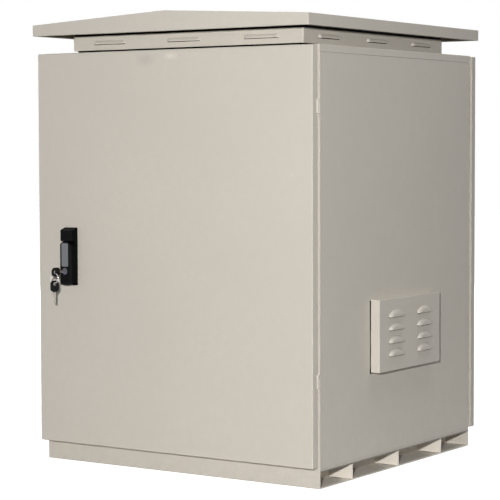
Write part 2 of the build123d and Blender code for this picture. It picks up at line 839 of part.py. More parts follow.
def lever_blank():
    """Lever form: front, side and plan outlines crossed."""
    left, right = handle_x_limits
    low = handle_z[0]
    front = make_face([
        Line((left, low + lever_end_bulge), (left, turn_z)),
        ThreePointArc((left, turn_z), (handle_x, lever_top), (right, turn_z)),
        Line((right, turn_z), (right, low + lever_end_bulge)),
        ThreePointArc((right, low + lever_end_bulge), (handle_x, low), (left, low + lever_end_bulge)),
    ])
    face, back = lever_y
    side = make_face([
        Line((back, low), (back, lever_pin_z)),
        ThreePointArc((back, lever_pin_z), (lever_pin_y, lever_top), (face, lever_pin_z)),
        Line((face, lever_pin_z), (face, low + lever_bevel)),
        Line((face, low + lever_bevel), (face + lever_bevel, low)),
        Line((face + lever_bevel, low), (back, low)),
    ])
    plan = polygon([
        (left, back),
        (left, face + lever_bevel),
        (left + lever_bevel, face),
        (right - lever_bevel, face),
        (right, face + lever_bevel),
        (right, back),
    ])
    return prism_y(front, lever_y) & prism_x(side, handle_x_limits) & prism_z(plan, (low, lever_top))


def insert_form(y):
    """Rounded strip on the lever between two Y limits."""
    z = handle_z[0] + insert_rise + insert_height / 2
    return prism_y(Pos(handle_x, z) * RectangleRounded(insert_width, insert_height, insert_corner), y)


def lever():
    """Lever with a fork for the spindle lug, a recess for the strip and a seat for the lock."""
    slot_x = around(handle_x, lug_width + 2 * rest_gap)
    slot_y = (lever_pin_y - lug_radius - rest_gap, lever_y[1] + overrun)
    slot_z = (lever_pin_z - lug_radius - rest_gap, lever_top + overrun)
    pin_x = around(handle_x, lever_pin_length)
    pin_bore = rod_x(lever_pin_radius + pin_play, pin_x, lever_pin_y, lever_pin_z)
    seat_y = (lever_y[0] - overrun, lever_y[0] + lock_barrel_depth)
    seat = rod_y(lock_barrel_radius + pin_play, handle_x, seat_y, lock_z)
    recess = insert_form((lever_y[0] - overrun, lever_y[0] + insert_thickness))
    return lever_blank() - block(slot_x, slot_y, slot_z) - pin_bore - seat - recess


def lever_pin():
    """Pin on which the lever lifts."""
    return rod_x(lever_pin_radius, around(handle_x, lever_pin_length), lever_pin_y, lever_pin_z)


def lever_insert():
    """Bare strip in the face of the lever."""
    return insert_form((lever_y[0], lever_y[0] + insert_thickness))


def lock_barrel():
    """Fixed barrel of the lock, bored for the plug."""
    y = (lever_y[0] - lock_barrel_proud, lever_y[0] + lock_barrel_depth)
    bore_y = (y[0] - overrun, y[1] - lock_bottom_wall)
    bore = rod_y(lock_plug_radius + pin_play, handle_x, bore_y, lock_z)
    return rod_y(lock_barrel_radius, handle_x, y, lock_z) - bore


def lock_plug():
    """Plug of the lock with an upright keyway."""
    face = lever_y[0] - lock_barrel_proud - lock_plug_proud
    y = (face, lever_y[0] + lock_barrel_depth - lock_bottom_wall)
    keyway_x = around(handle_x, key_blade_thickness + 2 * key_play)
    keyway_z = around(lock_z, key_blade_height + 2 * key_play)
    keyway_y = (face - overrun, face + key_blade_length - key_neck + key_play)
    return rod_y(lock_plug_radius, handle_x, y, lock_z) - block(keyway_x, keyway_y, keyway_z)


def spindle():
    """Spindle with a lug for the lever outside and a cam with two drive pins inside."""
    head_y = (base_face_y, base_face_y + spindle_head_depth - rest_gap)
    head = rod_y(spindle_head_radius, handle_x, head_y, turn_z)
    shaft = rod_y(spindle_radius, handle_x, (base_face_y, cam_y[0]), turn_z)
    lug_x = around(handle_x, lug_width)
    arm = block(lug_x, (lever_pin_y, base_face_y), around(lever_pin_z, 2 * lug_radius))
    eye = rod_x(lug_radius, lug_x, lever_pin_y, lever_pin_z)
    eye_bore = rod_x(lever_pin_radius + pin_play, grown(lug_x, overrun), lever_pin_y, lever_pin_z)
    cam = rod_y(cam_radius, handle_x, cam_y, turn_z)
    pin_y = (cam_y[0], rod_y_limits[1] + sheet)
    pins = [
        rod_y(cam_pin_radius, handle_x - side * cam_pin_reach, pin_y, turn_z + side * cam_pin_drop)
        for side in (-1, 1)
    ]
    return head + shaft + (arm + eye - eye_bore) + cam + pins


def lock_rod(side, end_z):
    """Flat lock rod with a yoke round one cam pin; side is 1 for the upper rod, -1 for the lower."""
    x = handle_x - side * yoke_centre
    z = turn_z + side * cam_pin_drop
    plate_x = around(x, yoke_length + 2 * yoke_wall)
    plate_z = around(z, yoke_height + 2 * yoke_wall)
    yoke = block(plate_x, rod_y_limits, plate_z)
    slot = block(around(x, yoke_length), grown(rod_y_limits, overrun), around(z, yoke_height))
    bar = block(around(x, rod_width), rod_y_limits, (min(z, end_z), max(z, end_z)))
    return yoke + bar - slot


def upper_rod():
    """Rod that runs up to the header."""
    return lock_rod(1, opening_z[1] - rod_end_gap)


def lower_rod():
    """Rod that runs down to the sill."""
    return lock_rod(-1, opening_z[0] + rod_end_gap)


def rod_guides():
    """Folded guides on the inside of the door, two for each rod."""
    window_x = rod_width + 2 * rod_slack
    window_y = grown(rod_y_limits, rod_slack)
    outer_x = window_x + 2 * guide_wall
    outer = block(around(0, outer_x), (door_skin_y, window_y[1] + guide_wall), (0, guide_height))
    cut_z = grown((0, guide_height), overrun)
    window = block(around(0, window_x), window_y, cut_z)
    hollow = block(around(0, window_x), (door_skin_y + guide_wall, window_y[0] - guide_wall), cut_z)
    guide = outer - window - hollow
    guides = []
    for side, far in ((1, opening_z[1] - guide_far_inset), (-1, opening_z[0] + guide_far_inset)):
        for z in (turn_z + side * guide_near_distance, far):
            guides.append(Pos(handle_x - side * yoke_centre, 0, z - guide_height / 2) * guide)
    return group(guides)


# Keys

def key():
    """Key along Y with its notched blade to +Y and its moulded bow, with a hole, to -Y."""
    tip = key_blade_length
    half = key_blade_height / 2
    edge = [(0, half), (tip, half), (tip, -half)]
    for share in reversed(key_notch_shares):
        place = share * key_blade_length
        edge.append((place + key_notch_depth, -half))
        edge.append((place, key_notch_depth - half))
        edge.append((place - key_notch_depth, -half))
    edge.append((0, -half))
    blade = prism_x(polygon(edge), around(0, key_blade_thickness))
    bow_round = key_bow_height * key_bow_round_share
    bow = Pos(-key_bow_length / 2, 0) * RectangleRounded(key_bow_length, key_bow_height, bow_round)
    hole = Pos(key_hole_inset - key_bow_length, 0) * Circle(key_hole_radius)
    return blade + prism_x(bow - hole, around(0, key_bow_thickness))


def door_key():
    """Key in the front lock."""
    return Pos(handle_x, key_bow_y, lock_z) * key()


def key_ring():
    """Ring that hangs in the hole of the key."""
    z = (ring_top_z + ring_bottom_z) / 2
    return Pos(handle_x, key_hole_y, z) * Rot(quarter_turn, 0, 0) * Torus(ring_radius, ring_wire_radius)


def spare_key():
    """Second key hanging from the ring, turned a little round the upright."""
    hung = Rot(-quarter_turn, 0, 0) * (Pos(0, key_bow_length - key_hole_inset, 0) * key())
    return Pos(handle_x, key_hole_y, spare_key_z) * Rot(0, 0, spare_key_turn) * hung


def door_pieces():
    """Pieces of one door and its hinges, named without their side."""
    return {
        "door_shell": door_shell(),
        "door_stiffener": door_stiffener(),
        "door_gasket": door_gasket(),
        "hinge_body_leaves": hinge_body_leaves(),
        "hinge_door_leaves": hinge_door_leaves(),
        "hinge_pins": hinge_pins(),
        "handle_base": handle_base(),
        "lever": lever(),
        "lever_pin": lever_pin(),
        "lever_insert": lever_insert(),
        "lock_barrel": lock_barrel(),
        "lock_plug": lock_plug(),
        "spindle": spindle(),
        "upper_rod": upper_rod(),
        "lower_rod": lower_rod(),
        "rod_guides": rod_guides(),
    }


def all_pieces():
    """Every piece of the cabinet by node name."""
    front_panel = plinth_panel()
    right_channel = plinth_side()
    frame = door_frame()
    frames_of_fans = [Pos(0, y, hood_middle_z) * fan_frame() for y in fan_ys]
    pieces = {
        "plinth_front_panel": front_panel,
        "plinth_rear_panel": turned(front_panel),
        "plinth_side_right": right_channel,
        "plinth_side_left": mirror(right_channel, about=Plane.YZ),
        "plinth_gussets": plinth_gussets(),
        "base_tray": base_tray(),
        "gland_plate": gland_plate(),
        "cable_grommets": cable_grommets(),
        "front_frame": frame,
        "rear_frame": turned(frame),
        "frame_tubes": frame_tubes(),
        "rack_rails": rack_rails(),
        "side_panel_right": vented_side_panel(),
        "side_panel_left": mirror(side_panel(), about=Plane.YZ),
        "top_cover": top_cover(),
        "roof_collar": roof_collar(),
        "roof_frame": roof_frame(),
        "roof_canopy": roof_canopy(),
        "roof_seal": roof_seal(),
        "canopy_fasteners": canopy_fasteners(),
        "vent_hood": vent_hood(),
        "filter_mat": filter_mat(),
        "fan_frames": group(frames_of_fans),
        "fan_rotor_front": Pos(0, fan_ys[0], hood_middle_z) * fan_rotor(),
        "fan_rotor_rear": Pos(0, fan_ys[1], hood_middle_z) * fan_rotor(),
        "door_key": door_key(),
        "key_ring": key_ring(),
        "spare_key": spare_key(),
    }
    for name, piece in door_pieces().items():
        pieces["front_" + name] = piece
        pieces["rear_" + name] = turned(piece)
    return pieces


os.makedirs("parts", exist_ok=True)
for node, piece in all_pieces().items():
    export_step(piece, os.path.join("parts", node + ".step"))
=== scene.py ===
"""Looks for the outdoor data cabinet: materials, small fittings, studio and camera."""

import math

import bmesh
import bpy
from mathutils import Matrix, Vector, noise


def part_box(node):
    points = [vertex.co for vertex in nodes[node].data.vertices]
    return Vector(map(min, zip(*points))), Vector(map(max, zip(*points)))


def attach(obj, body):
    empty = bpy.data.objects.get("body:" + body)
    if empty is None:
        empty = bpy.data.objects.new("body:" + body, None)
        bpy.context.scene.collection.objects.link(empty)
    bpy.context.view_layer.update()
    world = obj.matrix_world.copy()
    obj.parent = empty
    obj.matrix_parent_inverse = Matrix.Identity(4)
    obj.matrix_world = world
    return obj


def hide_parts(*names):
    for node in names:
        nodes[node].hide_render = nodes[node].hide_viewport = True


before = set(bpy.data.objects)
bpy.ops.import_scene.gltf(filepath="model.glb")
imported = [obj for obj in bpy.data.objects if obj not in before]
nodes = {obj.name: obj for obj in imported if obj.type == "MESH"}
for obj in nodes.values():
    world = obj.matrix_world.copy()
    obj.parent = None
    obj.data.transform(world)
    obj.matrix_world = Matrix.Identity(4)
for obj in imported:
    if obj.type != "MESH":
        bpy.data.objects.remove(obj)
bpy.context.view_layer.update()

FULL_TURN = 2 * math.pi
QUARTER_TURN = math.pi / 2


# Colour and node helpers

def srgb(red, green, blue):
    """Linear colour from 8-bit screen values."""
    out = []
    for value in (red, green, blue):
        c = value / 255.0
        out.append(c / 12.92 if c <= 0.04045 else ((c + 0.055) / 1.055) ** 2.4)
    return (*out, 1.0)


def shade(color, factor):
    """A colour made lighter or darker."""
    return (color[0] * factor, color[1] * factor, color[2] * factor, 1.0)


def range_node(nt, value, band, to):
    """Node that maps a value from one band to another, held at the ends."""
    node = nt.nodes.new("ShaderNodeMapRange")
    for key, number in zip(("From Min", "From Max", "To Min", "To Max"), (*band, *to)):
        node.inputs[key].default_value = number
    nt.links.new(value, node.inputs["Value"])
    return node


def math_socket(nt, operation, *values):
    """Result of one operation on sockets or numbers."""
    node = nt.nodes.new("ShaderNodeMath")
    node.operation = operation
    for socket, value in zip(node.inputs, values):
        if isinstance(value, (int, float)):
            socket.default_value = value
        else:
            nt.links.new(value, socket)
    return node.outputs["Value"]


class Tree:
    """A material's node tree with short calls for the nodes used here."""

    def __init__(self, name, color, roughness, metallic=0.0, specular=0.5):
        self.mat = bpy.data.materials.new(name)
        self.mat.use_nodes = True
        self.nt = self.mat.node_tree
        self.bsdf = self.nt.nodes["Principled BSDF"]
        self.bsdf.inputs["Base Color"].default_value = color
        self.bsdf.inputs["Roughness"].default_value = roughness
        self.bsdf.inputs["Metallic"].default_value = metallic
        self.bsdf.inputs["Specular IOR Level"].default_value = specular
        self.place = self.new("ShaderNodeTexCoord").outputs["Object"]
        self.bump_chain = None

    def new(self, kind, **settings):
        node = self.nt.nodes.new(kind)
        for key, value in settings.items():
            setattr(node, key, value)
        return node

    def link(self, source, target):
        self.nt.links.new(source, target)

    def stretched(self, scale):
        """Object coordinates scaled along each axis."""
        node = self.new("ShaderNodeMapping")
        node.inputs["Scale"].default_value = scale
        self.link(self.place, node.inputs["Vector"])
        return node.outputs["Vector"]

    def noise(self, scale, detail=2.0, roughness=0.5, vector=None):
        node = self.new("ShaderNodeTexNoise")
        node.inputs["Scale"].default_value = scale
        node.inputs["Detail"].default_value = detail
        node.inputs["Roughness"].default_value = roughness
        self.link(vector or self.place, node.inputs["Vector"])
        return node.outputs["Fac"]

    def cells(self, scale, output="Color"):
        node = self.new("ShaderNodeTexVoronoi")
        node.inputs["Scale"].default_value = scale
        self.link(self.place, node.inputs["Vector"])
        return node.outputs[output]

    def span(self, value, band, to):
        """Value mapped from one band to another, held at the ends."""
        return range_node(self.nt, value, band, to).outputs["Result"]

    def math(self, operation, *values):
        return math_socket(self.nt, operation, *values)

    def axis(self, name):
        node = self.new("ShaderNodeSeparateXYZ")
        self.link(self.place, node.inputs["Vector"])
        return node.outputs[name]

    def away(self, axis, place):
        """Distance from a place along an axis."""
        return self.math("ABSOLUTE", self.math("ADD", self.axis(axis), -place))

    def mix(self, factor, first, second):
        """Colour between two colours or sockets."""
        node = self.new("ShaderNodeMix", data_type="RGBA")
        self.link(factor, node.inputs["Factor"])
        for key, value in (("A", first), ("B", second)):
            socket = [s for s in node.inputs if s.name == key and s.type == "RGBA"][0]
            if isinstance(value, tuple):
                socket.default_value = value
            else:
                self.link(value, socket)
        return [s for s in node.outputs if s.type == "RGBA"][0]

    def bump(self, height, distance, strength):
        """Adds a layer of relief."""
        node = self.new("ShaderNodeBump")
        node.inputs["Distance"].default_value = distance
        node.inputs["Strength"].default_value = strength
        self.link(height, node.inputs["Height"])
        if self.bump_chain is not None:
            self.link(self.bump_chain, node.inputs["Normal"])
        self.bump_chain = node.outputs["Normal"]
        self.link(self.bump_chain, self.bsdf.inputs["Normal"])

    def color(self, socket):
        self.link(socket, self.bsdf.inputs["Base Color"])

    def roughness(self, socket):
        self.link(socket, self.bsdf.inputs["Roughness"])

    def metallic(self, socket):
        self.link(socket, self.bsdf.inputs["Metallic"])


# Materials: bands that a noise mostly spans, and what a band turns into

WIDE = (0.3, 0.7)
NARROW = (0.35, 0.65)
RISE = (0.0, 1.0)
FALL = (1.0, 0.0)

# SPECK_LIFT makes up for the dark specks
PAINT = srgb(203, 197, 186)
SPECK_LIFT = 1.022
DUST = srgb(120, 108, 92)
DUST_HEIGHT = 0.16


def powder_coat(name, tint=1.0, dust=0.03, marks_and_painted_shade=None, specular=0.2, sheen=0.0):
    """Fine-textured pebble-grey powder coat, a little uneven, with dust near the floor."""
    color = shade(PAINT, tint * SPECK_LIFT)
    tree = Tree(name, color, roughness=0.66, specular=specular)
    cloud = tree.noise(scale=3.1, detail=3.0, roughness=0.55)
    mottle = tree.noise(scale=46.0, detail=4.0, roughness=0.6)
    speck = tree.noise(scale=330.0, detail=2.0, roughness=0.6)
    base = tree.mix(tree.span(cloud, WIDE, RISE), shade(color, 0.972), shade(color, 1.028))
    base = tree.mix(tree.span(mottle, NARROW, (0.0, 0.5)), base, shade(color, 0.955))
    base = tree.mix(tree.span(speck, NARROW, (0.0, 0.6)), base, shade(color, 0.94))
    settled = tree.span(tree.axis("Z"), (0.0, DUST_HEIGHT), (dust, 0.0))
    patchy = tree.span(mottle, WIDE, (0.4, 1.6))
    base = tree.mix(tree.math("MULTIPLY", settled, patchy), base, DUST)
    # rub marks on the front door, painted shade in the plinth channels' slots and seam
    if marks_and_painted_shade:
        base = marks_and_painted_shade(tree, base)
    tree.color(base)
    tree.roughness(tree.span(mottle, WIDE, (0.6 - sheen, 0.74 - sheen)))
    tree.bump(tree.noise(scale=210.0), distance=0.0004, strength=0.16)
    tree.bump(tree.noise(scale=820.0, roughness=0.6), distance=0.00022, strength=0.3)
    return tree.mat


# Each mark: X, Z, half width, half height, shade of the paint
RUB_MARKS = (
    (-0.07, 0.986, 0.034, 0.018, 0.8),
    (0.004, 0.993, 0.024, 0.011, 1.26),
)


def door_rub(tree, base):
    """A dull and a polished rub mark near the top of the front door."""
    streak = tree.noise(scale=30.0, detail=4.0, roughness=0.7, vector=tree.stretched((1.0, 1.0, 2.5)))
    worn = tree.span(streak, (0.3, 0.6), (0.5, 1.0))
    for x, z, half_width, half_height, factor in RUB_MARKS:
        across = tree.span(tree.away("X", x), (0.0, half_width), FALL)
        upright = tree.span(tree.away("Z", z), (0.0, half_height), FALL)
        mask = tree.math("MULTIPLY", across, upright)
        base = tree.mix(tree.math("MULTIPLY", mask, worn), base, shade(PAINT, factor))
    return base


# Plinth channels: span of the anchor slots, level just under the face they are cut in, start of the seam
# under the body; painted shade goes in the slots and along the seam
SLOT_X = (0.3415, 0.3745)
SLOT_TOP = 0.0019
SEAM_LOW = 0.0376
PAINTED_SHADE_FADE = 0.0003


def channel_painted_shade(tree, base):
    """Painted shade: dark walls inside the anchor slots of the plinth channels, and a dark painted shadow
    line in the seam under the body.
    """
    x = tree.math("ABSOLUTE", tree.axis("X"))
    z = tree.axis("Z")
    inner = tree.span(x, (SLOT_X[0] - PAINTED_SHADE_FADE, SLOT_X[0] + PAINTED_SHADE_FADE), RISE)
    outer = tree.span(x, (SLOT_X[1] - PAINTED_SHADE_FADE, SLOT_X[1] + PAINTED_SHADE_FADE), FALL)
    below = tree.span(z, (SLOT_TOP - PAINTED_SHADE_FADE, SLOT_TOP), FALL)
    slot = tree.math("MULTIPLY", tree.math("MULTIPLY", inner, outer), below)
    seam = tree.span(z, (SEAM_LOW, SEAM_LOW + PAINTED_SHADE_FADE), (0.0, 0.85))
    # painted shade colours: near black in the slots, dark brown along the seam
    return tree.mix(seam, tree.mix(slot, base, srgb(30, 28, 25)), srgb(62, 57, 51))


def zinc(name):
    """Zinc-plated steel with a faint spangle and rolling marks."""
    tree = Tree(name, srgb(156, 158, 160), roughness=0.58, metallic=1.0)
    grey = tree.new("ShaderNodeRGBToBW")
    tree.link(tree.cells(scale=90.0), grey.inputs["Color"])
    spangle = tree.span(grey.outputs["Val"], (0.2, 0.8), RISE)
    tree.color(tree.mix(spangle, srgb(146, 148, 151), srgb(166, 168, 170)))
    tree.roughness(tree.span(tree.noise(scale=60.0, detail=4.0, roughness=0.6), WIDE, (0.54, 0.64)))
    rolling = tree.noise(scale=140.0, detail=3.0, roughness=0.6, vector=tree.stretched((1.0, 1.0, 0.08)))
    tree.bump(rolling, distance=0.0002, strength=0.12)
    return tree.mat


def moulded(name, color, gloss, grain):
    """Moulded or die-cast black with a fine grain and slightly rubbed patches."""
    tree = Tree(name, color, roughness=gloss, specular=0.05)
    wear = tree.noise(scale=85.0, detail=4.0, roughness=0.65)
    tree.color(tree.mix(tree.span(wear, (0.5, 0.75), (0.0, 0.5)), color, shade(color, 2.2)))
    tree.roughness(tree.span(wear, WIDE, (gloss - 0.08, gloss + 0.1)))
    tree.bump(tree.cells(scale=grain, output="Distance"), distance=0.00015, strength=0.25)
    tree.bump(tree.noise(scale=grain * 0.4), distance=0.0002, strength=0.15)
    return tree.mat


def brushed(name, color, roughness, stretch):
    """Brushed bare metal with lines along one direction."""
    tree = Tree(name, color, roughness, metallic=0.75)
    lines = tree.noise(scale=160.0, detail=4.0, roughness=0.7, vector=tree.stretched(stretch))
    tree.color(tree.mix(tree.span(lines, WIDE, RISE), shade(color, 0.86), shade(color, 1.12)))
    tree.roughness(tree.span(lines, WIDE, (roughness - 0.08, roughness + 0.12)))
    tree.bump(lines, distance=0.0001, strength=0.2)
    return tree.mat


def rubber(name):
    """Matt black rubber with a pitted skin and pale bloom."""
    tree = Tree(name, srgb(16, 15, 13), roughness=0.75, specular=0.08)
    bloom = tree.noise(scale=40.0, detail=4.0, roughness=0.65)
    tree.color(tree.mix(tree.span(bloom, (0.45, 0.8), (0.0, 0.6)), srgb(12, 11, 9), srgb(36, 34, 31)))
    tree.roughness(tree.span(bloom, WIDE, (0.66, 0.86)))
    tree.bump(tree.noise(scale=620.0), distance=0.0002, strength=0.35)
    return tree.mat


def felt(name):
    """Loose white filter fleece."""
    tree = Tree(name, srgb(206, 205, 198), roughness=0.95, specular=0.1)
    fibre = tree.noise(scale=240.0, detail=6.0, roughness=0.8, vector=tree.stretched((1.0, 1.0, 0.35)))
    tree.color(tree.mix(tree.span(fibre, NARROW, RISE), srgb(172, 170, 162), srgb(222, 221, 215)))
    tree.bump(fibre, distance=0.0015, strength=0.6)
    return tree.mat


# Length of a key's bow, and half the width of the change to its blade
KEY_BOW = 0.0285
KEY_FADE = 0.0002


def key_coat(name, axis, edge, sign):
    """Black moulded bow and plated blade on one key, parted at a level along an axis."""
    tree = Tree(name, srgb(12, 12, 13), roughness=0.48, specular=0.12)
    along = tree.math("MULTIPLY", tree.axis(axis), sign)
    level = edge * sign
    blade = tree.span(along, (level - KEY_FADE, level + KEY_FADE), RISE)
    scratch = tree.noise(scale=420.0, detail=4.0, roughness=0.7, vector=tree.stretched((1.0, 0.2, 1.0)))
    metal = tree.mix(scratch, srgb(142, 139, 131), srgb(186, 183, 175))
    bow = tree.mix(tree.noise(scale=120.0, detail=3.0), srgb(9, 9, 10), srgb(20, 20, 21))
    tree.color(tree.mix(blade, bow, metal))
    tree.metallic(blade)
    tree.roughness(tree.span(scratch, WIDE, (0.28, 0.45)))
    tree.bump(tree.noise(scale=900.0), distance=0.0001, strength=0.2)
    return tree.mat


mats = {
    "paint": powder_coat("paint_body"),
    "door": powder_coat("paint_front_door", marks_and_painted_shade=door_rub),
    # painted shade: the rear door paint is darker than the body paint
    "rear": powder_coat("paint_rear_door_painted_shade", tint=0.88),
    "roof": powder_coat("paint_roof", dust=0.0, specular=0.06, sheen=-0.16),
    # painted light: the collar paint is lighter than the body paint to make up for the shade under the
    # roof's eave
    "collar": powder_coat("paint_collar_painted_light", tint=1.06, dust=0.0, specular=0.06, sheen=-0.16),
    "plinth": powder_coat("paint_plinth", dust=0.05),
    # painted light: the channel paint is 1.3 times lighter than the body paint, and it also carries painted
    # shade in its slots and seam
    "channel": powder_coat("paint_channel_painted_light_and_shade", tint=1.3, marks_and_painted_shade=channel_painted_shade, specular=0.5, sheen=0.22),
    "hinge": powder_coat("paint_hinge", tint=1.04, dust=0.0),
    "zinc": zinc("zinc_plate"),
    "black": moulded("handle_black", srgb(5, 5, 6), gloss=0.5, grain=900.0),
    # painted shade: the roof frame inside the canopy is black so that it shows as the dark line under the
    # fascia
    "canopy_shade_black": moulded("canopy_black_painted_shade", srgb(8, 8, 8), gloss=0.75, grain=700.0),
    "fan": moulded("fan_black", srgb(31, 31, 32), gloss=0.5, grain=500.0),
    "strip": brushed("strip_grey", srgb(101, 103, 105), roughness=0.46, stretch=(0.06, 1.0, 1.0)),
    "chrome": brushed("ring_plated", srgb(206, 206, 203), roughness=0.24, stretch=(1.0, 0.1, 1.0)),
    "lock": brushed("lock_dulled", srgb(84, 84, 93), roughness=0.4, stretch=(1.0, 0.1, 1.0)),
    "rubber": rubber("rubber_black"),
    "felt": felt("filter_felt"),
    "key": key_coat("key_front", "Y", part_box("door_key")[0].y + KEY_BOW, 1.0),
    "spare": key_coat("key_spare", "Z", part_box("spare_key")[1].z - KEY_BOW, -1.0),
}

# Finish of the nodes that come once for each door, by what follows front or rear
ENDINGS = {
    "door_stiffener": "paint", "door_gasket": "rubber", "hinge_body_leaves": "hinge",
    "hinge_door_leaves": "hinge", "hinge_pins": "zinc", "handle_base": "black", "lever": "black",
    "lever_pin": "zinc", "lever_insert": "strip", "lock_barrel": "lock", "lock_plug": "lock",
    "spindle": "zinc", "upper_rod": "zinc", "lower_rod": "zinc", "rod_guides": "zinc",
}

# Finish of the other nodes, by their full names
EXACT = {
    "plinth_front_panel": "plinth", "plinth_rear_panel": "plinth", "plinth_side_left": "channel",
    "plinth_side_right": "channel", "plinth_gussets": "channel", "base_tray": "paint", "gland_plate": "zinc",
    "cable_grommets": "rubber", "front_frame": "paint", "rear_frame": "paint", "frame_tubes": "zinc",
    "rack_rails": "zinc", "side_panel_left": "paint", "side_panel_right": "paint", "top_cover": "paint",
    "roof_collar": "collar", "roof_canopy": "roof", "roof_frame": "canopy_shade_black", "roof_seal": "rubber",
    "canopy_fasteners": "zinc", "vent_hood": "paint", "filter_mat": "felt", "fan_frames": "fan",
    "fan_rotor_front": "fan", "fan_rotor_rear": "fan", "door_key": "key", "key_ring": "chrome",
    "spare_key": "spare", "front_door_shell": "door", "rear_door_shell": "rear",
}


def dress(name, node):
    """Gives a CAD node its finish."""
    key = EXACT.get(name) or ENDINGS[name.split("_", 1)[1]]
    node.data.materials.clear()
    node.data.materials.append(mats[key])


for name, node in nodes.items():
    dress(name, node)


# Pieces in mesh code

SHARP_ANGLE = math.radians(38.0)


def skin(bm, rings, closed=False):
    """Quads between rings of points; closed joins the last ring to the first."""
    loops = [[bm.verts.new(point) for point in ring] for ring in rings]
    pairs = list(zip(loops, loops[1:]))
    if closed:
        pairs.append((loops[-1], loops[0]))
    for a, b in pairs:
        for i in range(len(a)):
            j = (i + 1) % len(a)
            bm.faces.new((a[i], a[j], b[j], b[i]))
    return loops


def capped(bm, rings):
    """Quads between rings of points, with a face on each end."""
    loops = skin(bm, rings)
    bm.faces.new(loops[0])
    bm.faces.new(loops[-1])


def piece(name, bm, finish, body):
    """Object from a mesh that rides on a body."""
    bmesh.ops.recalc_face_normals(bm, faces=bm.faces)
    mesh = bpy.data.meshes.new(name)
    bm.to_mesh(mesh)
    bm.free()
    for face in mesh.polygons:
        face.use_smooth = True
    mesh.set_sharp_from_angle(angle=SHARP_ANGLE)
    mesh.materials.append(mats[finish])
    made = bpy.data.objects.new(name, mesh)
    bpy.context.scene.collection.objects.link(made)
    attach(made, body)
    return made


def between(a, b, share):
    """Point part of the way from one point to another."""
    return tuple(p + (q - p) * share for p, q in zip(a, b))


def rounded_path(low, high, corner, step):
    """Points with outward directions round an upright rectangle with rounded corners, in (X, Z)."""
    corner_parts = 8
    path = []
    middle = ((low[0] + high[0]) / 2, (low[1] + high[1]) / 2)
    for quarter, (sx, sz) in enumerate(((1, 1), (-1, 1), (-1, -1), (1, -1))):
        cx = middle[0] + sx * ((high[0] - low[0]) / 2 - corner)
        cz = middle[1] + sz * ((high[1] - low[1]) / 2 - corner)
        for i in range(corner_parts + 1):
            turn = (quarter + i / corner_parts) * QUARTER_TURN
            out = (math.cos(turn), math.sin(turn))
            path.append(((cx + corner * out[0], cz + corner * out[1]), out))
    full = []
    for (here, out), (there, _) in zip(path, path[1:] + path[:1]):
        parts = max(1, round(math.dist(here, there) / step))
        full += [(between(here, there, i / parts), out) for i in range(parts)]
    return full


def foam_gasket(side):
    """Foamed sealing bead inside a door, slightly uneven along its run."""
    half, corner, step = 0.007, 0.014, 0.02
    evenness, wave_scale, wave_seed = 0.94, 26.0, 1.7
    shoulder, arc_parts = 0.3, 10
    node = side + "_door_gasket"
    low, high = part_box(node)
    base, top = (low.y, high.y) if side == "front" else (high.y, low.y)
    path = rounded_path((low.x + half, low.z + half), (high.x - half, high.z - half), corner, step)
    rings = []
    for (x, z), (ox, oz) in path:
        wave = noise.noise(Vector((x * wave_scale, z * wave_scale, wave_seed)))
        swell = min(evenness + (1 - evenness) * wave, 1.0)
        ring = [(-half, 0.0)]
        for i in range(arc_parts + 1):
            turn = math.pi * (1 - i / arc_parts)
            ring.append((half * math.cos(turn), (shoulder + (1 - shoulder) * math.sin(turn)) * swell))
        ring.append((half, 0.0))
        rings.append([(x + ox * wide, base + (top - base) * rise, z + oz * wide) for wide, rise in ring])
    bm = bmesh.new()
    skin(bm, rings, closed=True)
    bead = piece(side + "_gasket_foam", bm, "rubber", side + "_door")
    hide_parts(node)


def filter_fleece():
    """Cut filter mat with soft edges and an uneven fibre face."""
    cuts, fibre_scale, fibre_depth, edge_depth = 27, 160.0, 0.0005, 0.0009
    nearly = 1e-5
    low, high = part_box("filter_mat")
    centre = (low + high) / 2
    half = (high - low) / 2
    bm = bmesh.new()
    bmesh.ops.create_cube(bm, size=2.0)
    bmesh.ops.subdivide_edges(bm, edges=bm.edges[:], cuts=cuts, use_grid_fill=True)
    for vert in bm.verts:
        outer = [abs(abs(c) - 1.0) < nearly for c in vert.co]
        point = Vector([centre[i] + vert.co[i] * half[i] for i in range(3)])
        sunk = fibre_depth + fibre_depth * noise.noise(point * fibre_scale)
        sunk += edge_depth if sum(outer) > 1 else 0.0
        inward = [-math.copysign(sunk, c) if at_face else 0.0 for c, at_face in zip(vert.co, outer)]
        vert.co = point + Vector(inward)
    mat = piece("filter_fleece", bm, "felt", "cabinet")
    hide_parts("filter_mat")


def split_ring():
    """Split ring of two turns of wire with its ends side by side."""
    steps, sides, gap = 170, 12, 0.16
    wire_width_share, wire_depth_share = 1.25, 0.97
    low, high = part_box("key_ring")
    centre = (low + high) / 2
    wire = (high.y - low.y) / 4
    radius = (high.x - low.x) / 2 - 2 * wire
    angles = [FULL_TURN * k / sides for k in range(sides)]
    rings = []
    for i in range(steps + 1):
        turn = gap + (2 * FULL_TURN - 2 * gap) * i / steps
        cross = min(max((turn - FULL_TURN + gap) / (2 * gap), 0.0), 1.0)
        side = wire * (2 * cross * cross * (3 - 2 * cross) - 1)
        out = Vector((math.sin(turn), 0.0, -math.cos(turn)))
        ring = []
        for angle in angles:
            reach = radius + wire * wire_width_share * math.cos(angle)
            shift = side + wire * math.sin(angle) * wire_depth_share
            ring.append(centre + out * reach + Vector((0.0, shift, 0.0)))
        rings.append(ring)
    bm = bmesh.new()
    capped(bm, rings)
    ring = piece("split_ring", bm, "chrome", "key_ring")
    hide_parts("key_ring")


# Pan head from its foot to its crown: share of the radius, share of the height
HEAD_PROFILE = ((1.0, 0.0), (1.0, 0.35), (0.94, 0.66), (0.76, 0.9), (0.56, 1.0))


